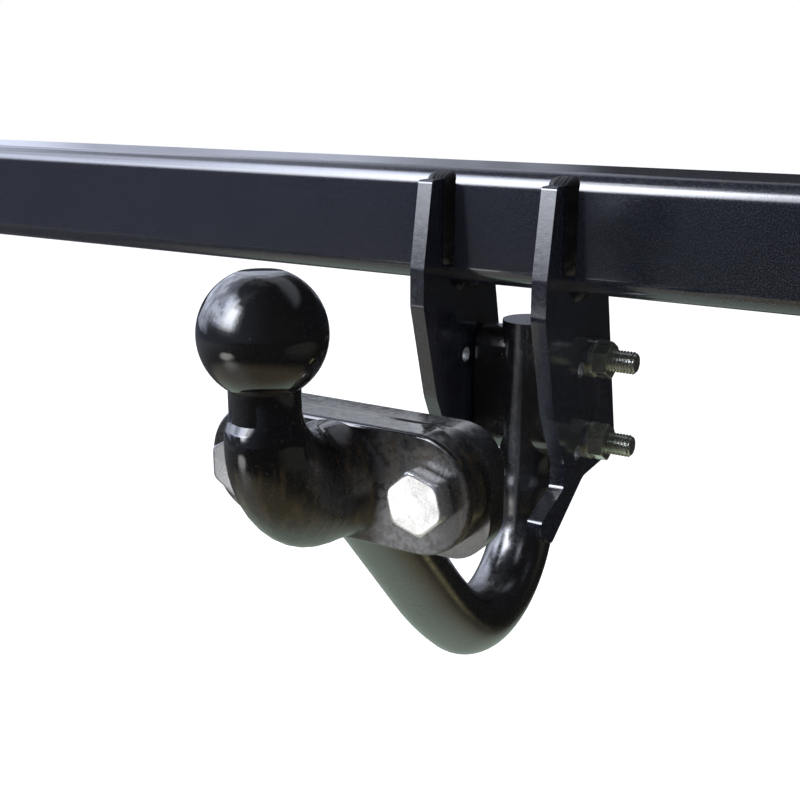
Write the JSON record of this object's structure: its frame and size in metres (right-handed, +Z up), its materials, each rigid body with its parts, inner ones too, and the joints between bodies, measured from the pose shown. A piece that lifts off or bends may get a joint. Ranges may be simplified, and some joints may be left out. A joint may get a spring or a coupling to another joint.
{
  "type": "towbar",
  "caption": "Fixed towbar: square cross beam on side arms, cheek plates holding a bolted swan neck, and a flange tow ball bolted to the neck.",
  "frame": {"origin": "centre of the tow ball", "axes": "+X along the cross beam to the side of the cross bolts' nuts, +Y from the ball to the beam and the front of the car, +Z up"},
  "size_m": [0.976, 0.447, 0.2636],
  "materials": {
    "black_coating": "satin black powder coat",
    "coated_weld": "satin black powder coat over a weld bead",
    "gloss_black_forging": "gloss black coat over a forging",
    "bright_zinc": "bright zinc plated",
    "yellow_zinc": "pale yellow zinc plated"
  },
  "bodies": {
    "root": {"cross_beam": "black_coating", "side_arm_right": "black_coating", "side_arm_left": "black_coating", "side_arm_weld_right": "coated_weld", "side_arm_weld_left": "coated_weld", "cheek_plate_right": "black_coating", "cheek_plate_left": "black_coating", "cheek_front_weld_right": "coated_weld", "cheek_front_weld_left": "coated_weld", "cheek_under_weld_right": "coated_weld", "cheek_under_weld_left": "coated_weld", "swan_neck": "gloss_black_forging", "tow_ball": "gloss_black_forging", "flange_bolts": "bright_zinc", "flange_washers": "bright_zinc", "flange_nuts": "bright_zinc", "cheek_bolts": "yellow_zinc", "cheek_lock_washers": "yellow_zinc", "cheek_nuts": "yellow_zinc"}
  },
  "joints": []
}
